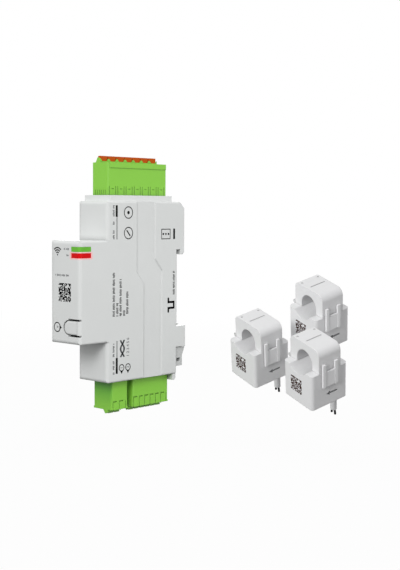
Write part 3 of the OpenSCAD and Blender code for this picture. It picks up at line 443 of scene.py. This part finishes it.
def lead_sheath():
    """The leads' white sheath."""
    return Moulded("lead_sheath", srgb(228, 228, 229), edge=0.2, edge_light=1.0, grain=0.8).done()


def wire_black():
    """The black wires in the leads."""
    return Moulded("wire_black", srgb(10, 10, 11), rough=0.6, edge=0.1, edge_light=1.2,
                   specular_ior_level=0.1).done()


def chip_black():
    """The metering chip's package."""
    return Moulded("chip_black", srgb(34, 34, 36), rough=0.6, edge=0.15, edge_light=1.5).done()


def switch_black():
    """The push switch's case."""
    return Moulded("switch_black", srgb(44, 46, 48), edge=0.2, edge_light=1.4).done()


def lamp_body():
    """The indicator lamps' cast resin."""
    return Moulded("lamp_body", srgb(236, 232, 214), rough=0.3, edge=0.1).done()


def taped_bobbin():
    """The supply transformer's yellow tape."""
    return Moulded("taped_bobbin", srgb(220, 186, 84), rough=0.4, edge=0.3, edge_light=1.1, grain=1.2,
                   depth=0.02, drift=0.08).done()


def window(name, colour, glow):
    """A tinted light window: glossy, with a faint glow from the lamp behind it."""
    f = Finish(name, specular_ior_level=0.12, emission_strength=glow)
    tone = f.mottle(f.noise(2.2), colour, darkest=0.9, lightest=1.1)
    gloss = f.gloss(least=0.3, span=0.1, cloud=f.noise(0.6))
    return f.feed(base_color=tone, emission_color=tone, roughness=gloss, normal=f.soft_edge(0.2))


def window_green():
    return window("window_green", srgb(104, 178, 58), 0.03)


def window_red():
    return window("window_red", srgb(206, 4, 8), 0.05)


def metal(name, colour, rough, streak):
    """Plated or ground metal with fine streaks, which are this much narrower along each axis."""
    f = Finish(name, metallic=1.0)
    along = f.node("ShaderNodeMapping", None, {"Vector": f.spot(), "Scale": streak})
    lines = f.noise(0.5, FINE, along)
    tone = f.mottle(lines, colour, darkest=0.82, lightest=1.08)
    gloss = f.gloss(least=rough - 0.1, span=0.2, cloud=lines)
    relief = f.bump(lines, depth=0.004, under=f.soft_edge(0.12))
    return f.feed(base_color=tone, roughness=gloss, normal=relief)


def radio_can():
    """The radio module's steel can."""
    return metal("radio_can", srgb(190, 192, 192), 0.4, (1, 1, 6))


def capacitor_sleeve():
    """The capacitor's blue sleeve over its can."""
    return metal("capacitor_sleeve", srgb(70, 84, 130), 0.45, (1, 8, 1))


def pin_plating():
    """The headers' gilt pins."""
    return metal("pin_plating", srgb(224, 196, 128), 0.3, (1, 1, 8))


def contact_tin():
    """The tinned spring contacts in the plugs."""
    return metal("contact_tin", srgb(206, 206, 204), 0.35, (1, 1, 8))


def core_grey():
    """The transformers' ground cores."""
    return metal("core_grey", srgb(104, 106, 110), 0.5, (8, 1, 1))


def board_mask():
    """Solder mask over copper, with lighter tracks showing through."""
    f = Finish("board_mask", coat_weight=0.3, coat_roughness=0.2)
    upright = f.node("ShaderNodeMapping", None, {"Vector": f.spot(), "Rotation": (0, pi / 2, 0)})
    tracks = f.node("ShaderNodeTexBrick", None, {
        "Vector": upright, "Color1": srgb(20, 84, 44), "Color2": srgb(28, 98, 52),
        "Mortar": srgb(58, 130, 76), "Scale": 160.0, "Mortar Size": 0.03})
    patches = 0.3 * f.noise(6)
    tone = f.mix(patches, tracks, srgb(12, 60, 34))
    gloss = f.gloss(least=0.34, span=0.12, cloud=f.noise(1.0))
    return f.feed(base_color=tone, roughness=gloss, normal=f.soft_edge(0.1))


def coil_winding():
    """Enamelled wire wound in close turns."""
    f = Finish("coil_winding", metallic=0.55)
    turns = f.node("ShaderNodeTexWave", {"bands_direction": "DIAGONAL"},
                   {"Vector": f.spot(), "Scale": 600.0, "Distortion": 0.4, "Detail": 1.0})
    tone = f.mix(turns, srgb(120, 58, 26), srgb(205, 120, 62))
    gloss = f.gloss(least=0.3, span=0.15, cloud=f.noise(0.8))
    return f.feed(base_color=tone, roughness=gloss, normal=f.bump(turns, depth=0.08))


def ink(name, colour, paper):
    """Pad-printed matt ink, through which a little of the paper colour shows in places."""
    f = Finish(name, specular_ior_level=0.0)
    wear_and_light_patches = f.between(f.noise(0.5, FINE), *INK_WORN)
    thin = wear_and_light_patches * INK_WORN_MOST + INK_DRIFT * f.noise(4.0)
    gloss = f.gloss(least=0.6, span=0.12, cloud=f.noise(0.4))
    return f.feed(base_color=f.mix(thin, colour, paper), roughness=gloss)


# The finish of a solid by its own name, or else by the first of the shorter words that its name holds
OWN_FINISH = {
    "housing": shell_grey, "cover": shell_grey, "reset_button": shell_grey, "rail_clip": clip_grey,
    "pipe_green": window_green, "pipe_red": window_red, "main_board": board_mask, "radio_module": radio_can,
    "meter_chip": chip_black, "push_switch": switch_black, "status_lamps": lamp_body,
    "capacitor": capacitor_sleeve, "supply_transformer": taped_bobbin, "header_pins": pin_plating,
    "bus_plug": bus_green, "lead_wires": wire_black,
}
FAMILY_FINISH = {
    "power_lever": lever_orange, "lever": lever_green, "plug": plug_green, "header": plug_green,
    "contacts": contact_tin, "core": core_grey, "coil": coil_winding, "latch": latch_white,
    "lead": lead_sheath, "jaw": jaw_white, "base": base_white,
}


def finish_of(name):
    if name in OWN_FINISH:
        return OWN_FINISH[name]
    return next(finish for word, finish in FAMILY_FINISH.items() if word in name)


def dress():
    """Gives each solid its finish, which is made once for all the solids that wear it."""
    made = {}
    for name, solid in frame["nodes"].items():
        finish = finish_of(name)
        if finish not in made:
            made[finish] = finish()
        solid.data.materials.clear()
        solid.data.materials.append(made[finish])


# Printed marks

def tick_places(low, high, seed, group):
    """The middles of a row of ticks with a gap in each group, and their running numbers."""
    place, count = low, seed
    while place < high - TICK_END:
        count += 1
        if count % group != TICK_GAP:
            yield place + TICK_MIDDLE, count
        place += TICK_PITCH


def tick_share(count, least):
    """How much of the full height a tick has, in four steps from the least."""
    return least + (1 - least) * (count * 3 % 4) / 3


def cell_filled(column, row):
    """A plain rule that fills about three cells in five and spells nothing."""
    return (7 * column ** 2 + 11 * row ** 2 + 5 * column * row + 3 * (column ^ (3 * row))) % 13 < 8


class Stencil:
    """Flat marks drawn in millimetres, then laid on a face as a film of ink."""

    def __init__(self):
        self.bm = bmesh.new()

    def put(self, verts, x, y, turn=0.0):
        """Turns what was drawn at zero and moves it to its place."""
        spin = Matrix.Rotation(radians(turn), 3, "Z")
        bmesh.ops.rotate(self.bm, verts=verts, cent=(0, 0, 0), matrix=spin)
        bmesh.ops.translate(self.bm, verts=verts, vec=(x, y, 0))

    def bar(self, x, y, wide, tall, turn=0.0):
        verts = bmesh.ops.create_grid(self.bm, x_segments=1, y_segments=1, size=0.5)["verts"]
        bmesh.ops.scale(self.bm, verts=verts, vec=(wide, tall, 1))
        self.put(verts, x, y, turn)

    def disc(self, x, y, radius, corners=DISC_CORNERS, turn=0.0):
        made = bmesh.ops.create_circle(self.bm, cap_ends=True, segments=corners, radius=radius)
        self.put(made["verts"], x, y, turn)

    def triangle(self, x, y, radius, turn):
        self.disc(x, y, radius, corners=3, turn=turn)

    def ring(self, x, y, radius, wide, start=0.0, sweep=360.0):
        """A line of this width round a circle, or part of one."""
        angle = radians(start)
        ends = [self.bm.verts.new((x + r * cos(angle), y + r * sin(angle), 0))
                for r in (radius - wide / 2, radius + wide / 2)]
        edge = self.bm.edges.new(ends)
        steps = max(RING_STEPS_LEAST, int(sweep / RING_STEP))
        bmesh.ops.spin(self.bm, geom=ends + [edge], cent=(x, y, 0), axis=(0, 0, 1), angle=radians(sweep),
                       steps=steps, use_merge=sweep == 360.0)

    def stroke(self, points, wide):
        """A line of this width through the points, along +Y."""
        x, y = points[0]
        edge = self.bm.edges.new([self.bm.verts.new((x + side * wide / 2, y, 0)) for side in (-1, 1)])
        for next_x, next_y in points[1:]:
            made = bmesh.ops.extrude_edge_only(self.bm, edges=[edge])["geom"]
            verts = [g for g in made if isinstance(g, bmesh.types.BMVert)]
            bmesh.ops.translate(self.bm, verts=verts, vec=(next_x - x, next_y - y, 0))
            edge = next(g for g in made if isinstance(g, bmesh.types.BMEdge) and set(g.verts) == set(verts))
            x, y = next_x, next_y

    def ticks(self, x, low, high, tall, seed):
        """An upright row of fine unequal ticks, six to a group."""
        for y, count in tick_places(low, high, seed, group=7):
            sway = TICK_SWAY * (count * 5 % 3 - 1)
            self.bar(x + sway, y, tall * tick_share(count, least=0.75), TICK_WIDE)

    def row(self, left, right, y, tall, seed):
        """A row of such ticks that lies flat, five to a group."""
        for x, count in tick_places(left, right, seed, group=6):
            self.bar(x, y, ROW_TICK_WIDE, tall * tick_share(count, least=0.6))

    def number(self, digits, x, y):
        """A number that reads upward."""
        curve = bpy.data.curves.new("number", "FONT")
        curve.body, curve.size = digits, DIGIT_TALL * DIGIT_FONT
        curve.align_x = curve.align_y = "CENTER"
        curve.resolution_u = 3
        holder = bpy.data.objects.new("number", curve)
        before = set(self.bm.verts)
        self.bm.from_mesh(holder.to_mesh())
        holder.to_mesh_clear()
        bpy.data.objects.remove(holder)
        bpy.data.curves.remove(curve)
        self.put([v for v in self.bm.verts if v not in before], x, y, turn=90)

    def cells(self, x, y, size):
        """A square of small cells, where neighbours in a row are one bar."""
        step = size / CODE_CELLS
        for row in range(CODE_CELLS):
            run = 0
            for column in range(CODE_CELLS + 1):
                if column < CODE_CELLS and cell_filled(column, row):
                    run += 1
                elif run:
                    middle = x - size / 2 + (column - run / 2) * step
                    self.bar(middle, y - size / 2 + (row + 0.5) * step, run * step, step)
                    run = 0

    def lay(self, name, face, finish, thick=INK):
        """Turns the marks into a piece that lies on a face of the module's body."""
        bm = self.bm
        bmesh.ops.recalc_face_normals(bm, faces=bm.faces[:])
        bmesh.ops.solidify(bm, geom=bm.faces[:], thickness=thick)
        low = min(v.co.z for v in bm.verts)
        bmesh.ops.translate(bm, verts=bm.verts[:], vec=(0, 0, -low))
        bmesh.ops.recalc_face_normals(bm, faces=bm.faces[:])
        bmesh.ops.transform(bm, matrix=Matrix.Scale(MM, 4) @ face, verts=bm.verts[:])
        return module_piece(bm, name, finish)


def module_piece(bm, name, finish):
    """A new piece that rides on the module's body."""
    mesh = bpy.data.meshes.new(name)
    bm.to_mesh(mesh)
    bm.free()
    mesh.materials.append(finish)
    piece = bpy.data.objects.new(name, mesh)
    bpy.context.scene.collection.objects.link(piece)
    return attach(piece, "module")


def face_to(right, up, corner):
    """The matrix of a face from its sideways and upward directions and the place of its zero."""
    right, up = Vector(right), Vector(up)
    return Matrix.Translation(corner) @ Matrix((right, up, right.cross(up))).transposed().to_4x4()


def transformer_frame(shift):
    """The matrix of one transformer in the tilted set."""
    tilted = Matrix.Rotation(radians(SET_TURN), 4, "Z") @ Matrix.Rotation(radians(SET_TILT), 4, "X")
    turned = Matrix.Rotation(radians(TRANSFORMER_TURN), 4, "Z")
    return Matrix.Translation(TRANSFORMER_AT) @ tilted @ turned @ Matrix.Translation(shift)


def strip_gauge(dark, pale, bare, line, prints):
    """A black bar as long as the bare wire should be, a fine line in its row, and small print by them."""
    for stencil, wide, (x, y, tall) in ((dark, BAR_WIDE, bare), (pale, LINE_WIDE, line)):
        stencil.bar(x, y, wide, tall)
    for low, high in prints:
        pale.ticks(PRINT_COLUMN, low, high, PRINT_TALL, int(max(abs(low), abs(high))))


def terminal_signs(dark):
    """A ring with a dot, and under it a ring with a stroke."""
    dotted, struck = (-31.16, 35.1), (-31.13, 26.0)
    dark.ring(*dotted, SIGN_RADIUS, SIGN_WIDE)
    dark.disc(*dotted, radius=0.75)
    dark.ring(*struck, SIGN_RADIUS, SIGN_WIDE)
    dark.bar(*struck, wide=0.6, tall=3.4, turn=40)


def block_sign(dark):
    """A terminal block as a frame with three dots, and a bar behind it."""
    x, y, wide, tall = -7.3, 25.3, 6.0, 4.1
    for shift in (-2.2, 2.2):
        dark.bar(x, y + shift, wide, FRAME_WIDE)
    for shift in (-2.8, 2.8):
        dark.bar(x + shift, y, FRAME_WIDE, tall)
    for shift in (-1.7, 0, 1.7):
        dark.disc(x + shift, y, radius=0.5, corners=16)
    dark.bar(-1.87, y, BAR_WIDE, tall=4.9)


def small_print(dark):
    """Five rows of ticks in the middle of the side, and one at its back edge."""
    low = -10.7
    for x, start, end in ((-40.0, low, 9.0), (-37.9, low, -4.6), (-35.9, low, 5.6), (-33.8, low, -7.5),
                          (-31.8, -10.4, -0.2)):
        dark.ticks(x, start, end, tall=1.4, seed=int(-x))
    dark.ticks(-1.9, -2.8, 8.0, tall=1.3, seed=5)


def rail_sign(dark):
    """A hat rail in section: its back, its two legs and their lips."""
    y, thick = -7.65, 1.0
    dark.bar(-1.9, y, wide=thick, tall=3.7)
    for side in (-1, 1):
        dark.bar(-3.7, y + side * 1.35, wide=4.6, tall=thick)
        dark.bar(-5.5, y + side * 2.65, wide=thick, tall=1.6)


def twisted_pair(pale):
    """Two strands that cross twice. First and apart say where, as shares of the length."""
    x, low, tall, swing, wide, steps = -34.75, -29.1, 7.6, 1.1, 0.95, 24
    first, apart = 60 / 295, 165 / 295
    shares = [k / steps for k in range(steps + 1)]
    for side in (-1, 1):
        points = [(x + side * swing * sin(pi * (t - first) / apart), low + t * tall) for t in shares]
        pale.stroke(points, wide)


def pole_numbers(pale):
    """The numbers of the six poles of the sense plug."""
    x, low, pitch, poles = -31.3, -28.7, 1.5, 6
    for k in range(poles):
        pale.number(str(k + 1), x, low + k * pitch)


def bus_terminals(dark, pale):
    """A numbered ring with a pointer for each terminal of the bus plug."""
    ring_y, pointer_y = -33.9, -35.7
    for k, x in enumerate((-35.2, -31.3)):
        dark.ring(x, ring_y, radius=1.45, wide=LINE_WIDE)
        dark.triangle(x, pointer_y, radius=1.0, turn=180)
        pale.number(str(k + 1), x, ring_y)


def side_marks(black, grey_ink):
    """Strip gauges, signs, numbers and small print on the right side."""
    face = face_to((0, 1, 0), (0, 0, 1), (RIGHT_FACE, 0, 0))
    dark, pale = Stencil(), Stencil()
    strip_gauge(dark, pale, bare=(-38.3, 35.75, 5.1), line=(-38.15, 28.3, 10.0),
                prints=((32.9, 38.3), (29.3, 31.3), (23.4, 27.4)))
    terminal_signs(dark)
    block_sign(dark)
    small_print(dark)
    rail_sign(dark)
    strip_gauge(dark, pale, bare=(-38.15, -32.75, 7.1), line=(-38.05, -25.4, 7.5),
                prints=((-28.6, -22.7), (-34.4, -30.6), (-36.4, -35.0)))
    twisted_pair(pale)
    pole_numbers(pale)
    bus_terminals(dark, pale)
    dark.lay("side_marks_black", face, black)
    pale.lay("side_marks_grey", face, grey_ink)


def signal_arcs(dark):
    """Three arcs over a dot."""
    x, y = -5.35, 16.7
    for radius in (1.1, 2.1, 3.1):
        dark.ring(x, y, radius, wide=0.52, start=45, sweep=90)
    dark.disc(x, y, radius=0.36)


def button_sign(dark, pale):
    """A ring with ticks in it and a pointer to the button."""
    x, y = -5.6, -14.9
    dark.ring(x, y, radius=2.0, wide=SIGN_WIDE)
    dark.triangle(x + 2.05, y, radius=1.0, turn=-90)
    pale.row(x - 0.7, x + 0.8, y + 0.1, tall=0.8, seed=3)


def front_marks(black, grey_ink):
    """Signal arcs, a square of cells, the button's sign and small print on the nose."""
    face = face_to((1, 0, 0), (0, 0, 1), FRONT_ZERO)
    dark, pale = Stencil(), Stencil()
    signal_arcs(dark)
    dark.cells(-0.6, 0.45, size=8.0)
    button_sign(dark, pale)
    for left, right, y, tall, seed in ((-6.7, 2.0, 7.9, 1.0, 2), (-1.2, 2.3, 19.3, 0.9, 7),
                                       (0.6, 2.3, 16.6, 0.9, 5)):
        pale.row(left, right, y, tall, seed)
    dark.lay("front_marks_black", face, black)
    pale.lay("front_marks_grey", face, grey_ink)


def transformer_label(number, place, brown):
    """The square of cells on a transformer's front."""
    label = Stencil()
    label.cells(-1.1, 8.3, size=7.3)
    face = place @ face_to((1, 0, 0), (0, 0, 1), (0, TRANSFORMER_FRONT, 0))
    label.lay(f"ct_{number}_label", face, brown)


def transformer_arrow(number, place, shade):
    """A grey sheet in the arrow that is cut into a transformer's side, which paints the shade of the
    recess.
    """
    arrow = Stencil()
    arrow.bar(1.7, ARROW_HEIGHT, wide=4.9, tall=0.8)
    arrow.triangle(-0.8, ARROW_HEIGHT, radius=1.15, turn=90)
    face = place @ face_to((0, 1, 0), (0, 0, 1), (ARROW_FLOOR, 0, 0))
    arrow.lay(f"ct_{number}_arrow", face, shade, ARROW_SHADE_THICK)


def transformer_marks():
    brown = ink("ink_brown", srgb(62, 40, 36), CASE_WHITE)
    # The arrow's grey is painted shade of the recess, not print
    shade = ink("arrow_painted_shade", srgb(132, 133, 134), CASE_WHITE)
    for number, shift in TRANSFORMER_SHIFTS.items():
        place = transformer_frame(shift)
        transformer_label(number, place, brown)
        transformer_arrow(number, place, shade)


# Wire ends

def wire_end(bm, side):
    """One wire at the end of a lead, which leaves it aslant and bends down a little."""
    lean = Matrix.Rotation(radians(180 - side * WIRE_LEAN), 4, "Y")
    start = Matrix.Translation((side * WIRE_ASIDE, 0, 0)) @ lean @ Matrix.Translation((0, 0, -WIRE_IN))
    ring = bmesh.ops.create_circle(bm, cap_ends=True, segments=WIRE_SIDES, radius=WIRE_RADIUS, matrix=start)
    face = ring["verts"][0].link_faces[0]
    ahead = lean.to_3x3() @ Vector((0, 0, WIRE_STEP))
    turn = Matrix.Rotation(radians(side * WIRE_BEND), 3, "Y")
    for _ in range(WIRE_STEPS):
        grown = bmesh.ops.extrude_face_region(bm, geom=[face])["geom"]
        face = next(g for g in grown if isinstance(g, bmesh.types.BMFace))
        bmesh.ops.translate(bm, verts=face.verts[:], vec=ahead)
        bmesh.ops.rotate(bm, verts=face.verts[:], cent=face.calc_center_median(), matrix=turn)
        ahead = turn @ ahead
    bmesh.ops.bevel(bm, geom=face.edges[:], offset=WIRE_ROUND, offset_type="OFFSET", affect="EDGES",
                    segments=WIRE_ROUND_STEPS, profile=0.5, material=-1)


def wire_ends():
    """Two bent wires at the end of each lead, in place of the straight ones of the solids."""
    bm = bmesh.new()
    for shift in TRANSFORMER_SHIFTS.values():
        before = set(bm.verts)
        for side in (-1, 1):
            wire_end(bm, side)
        place = Matrix.Scale(MM, 4) @ transformer_frame(shift) @ Matrix.Translation(LEAD_END)
        bmesh.ops.transform(bm, matrix=place, verts=[v for v in bm.verts if v not in before])
    bmesh.ops.recalc_face_normals(bm, faces=bm.faces[:])
    piece = module_piece(bm, "lead_wire_ends", frame["nodes"]["lead_wires"].data.materials[0])
    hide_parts("lead_wires")


# Studio

def surround():
    """A surround that is white to the eye and a softer white as a light."""
    world = bpy.data.worlds.new("surround")
    bpy.context.scene.world = world
    world.use_nodes = True
    world.node_tree.nodes.clear()
    air = Sheet(world.node_tree)
    light = air.node("ShaderNodeBackground", None, {"Color": WHITE, "Strength": SURROUND_LIGHT})
    white = air.node("ShaderNodeBackground", None, {"Color": WHITE, "Strength": 1.0})
    air.node("ShaderNodeOutputWorld", None, {"Surface": air.blend(air.seen(), light, white)})


def floor_paper():
    """Paper that is white to the eye, most of all far off, and throws little light back at the pieces."""
    f = Finish("floor_paper")
    sheet = f.mix(f.noise(40), grey(PAPER_DARK), grey(PAPER_LIGHT))
    colour = f.mix(f.seen(), grey(PAPER_THROWN), sheet)
    paper = f.node("ShaderNodeBsdfDiffuse", None, {"Color": colour})
    glow = f.node("ShaderNodeEmission", None, {"Color": WHITE, "Strength": 1.0})
    away = f.between(f.vector("LENGTH", f.spot(), out="Value"), FLOOR_NEAR, FLOOR_FAR)
    glowing = FLOOR_GLOW + (1 - FLOOR_GLOW) * away
    both = f.blend(glowing * f.seen(), paper, glow)
    f.tree.links.new(both.socket, f.tree.nodes["Material Output"].inputs["Surface"])
    return f.material


def floor():
    """A wide floor, low enough for the lower plugs to be pulled out."""
    bm = bmesh.new()
    bmesh.ops.create_grid(bm, x_segments=1, y_segments=1, size=FLOOR_HALF)
    bmesh.ops.translate(bm, verts=bm.verts[:], vec=(0, 0, solid_box[0][2] - FLOOR_DROP * MM))
    mesh = bpy.data.meshes.new("studio_floor")
    bm.to_mesh(mesh)
    bm.free()
    mesh.materials.append(floor_paper())
    ground = bpy.data.objects.new("studio_floor", mesh)
    bpy.context.scene.collection.objects.link(ground)


def light_groups():
    """The pieces of the module, of the transformers and of their leads, which are lit apart."""
    groups = {"module": [], "transformers": [], "leads": []}
    for piece in bpy.context.scene.objects:
        if piece.type != "MESH":
            continue
        if "lead" in piece.name:
            groups["leads"].append(piece)
        elif piece.name.startswith("ct_"):
            groups["transformers"].append(piece)
        else:
            groups["module"].append(piece)
    return groups


def lamp(name, toward, size, watts, pieces):
    """A soft round lamp that stands off in this direction. Only these pieces take its light or block it."""
    data = bpy.data.lights.new(name, "AREA")
    data.shape, data.size, data.energy = "DISK", size, watts
    holder = bpy.data.objects.new(name, data)
    bpy.context.scene.collection.objects.link(holder)
    away = Vector(toward).normalized()
    holder.location = Vector(LAMP_AIM) + LAMP_AWAY * away
    holder.rotation_euler = (-away).to_track_quat("-Z", "Y").to_euler()
    lit = bpy.data.collections.new(f"{name}_lights")
    for piece in pieces:
        lit.objects.link(piece)
    holder.light_linking.receiver_collection = lit
    holder.light_linking.blocker_collection = lit


def lamps(groups):
    """Each lamp with its direction, its size in metres, its watts and the pieces that it lights."""
    module, transformers, leads = groups["module"], groups["transformers"], groups["leads"]
    lamp("front_panel", (0.45, -0.8, 0.5), 0.6, 8.5, module)
    lamp("side_panel", (0.95, 0, 0.1), 0.6, 3.2, module)
    lamp("transformer_panel", (0.15, -0.96, 0.18), 0.45, 9.1, transformers)
    lamp("lead_panel", (-0.15, -0.97, 0.1), 0.3, 7.0, leads)
    lamp("back_panel", (-0.6, 0.75, 0.25), 0.6, 8.0, module)
    lamp("transformer_back_panel", (0.1, 0.99, 0.05), 0.45, 6.0, transformers)


def camera():
    """A camera at the photograph's angle."""
    azimuth, elevation, roll = (radians(a) for a in (SIGHT_AZIMUTH, SIGHT_ELEVATION, SIGHT_ROLL))
    back = Vector((sin(azimuth) * cos(elevation), -cos(azimuth) * cos(elevation), sin(elevation)))
    right = Vector((cos(azimuth), sin(azimuth), 0))
    up = back.cross(right)
    sideways = right * cos(roll) + up * sin(roll)
    upward = up * cos(roll) - right * sin(roll)
    turn = Matrix((sideways, upward, back)).transposed()
    place = (right * SIGHT_RIGHT + Vector(SIGHT) + back * SIGHT_BACK) * MM
    eye = bpy.data.objects.new("photo_camera", bpy.data.cameras.new("photo_camera"))
    bpy.context.scene.collection.objects.link(eye)
    eye.data.sensor_fit, eye.data.sensor_height, eye.data.lens = "VERTICAL", FILM_HEIGHT, LENS
    eye.matrix_world = Matrix.Translation(place) @ turn.to_4x4()
    bpy.context.scene.camera = eye


def studio():
    """A white surround and floor, soft lamps, and the camera."""
    groups = light_groups()
    surround()
    floor()
    lamps(groups)
    camera()
    bpy.context.scene.view_settings.view_transform = "Standard"


dress()
wire_ends()
black_print = ink("ink_black", srgb(8, 8, 9), SHELL)
grey_print = ink("ink_grey", srgb(72, 74, 76), SHELL)
side_marks(black_print, grey_print)
front_marks(black_print, grey_print)
transformer_marks()
studio()
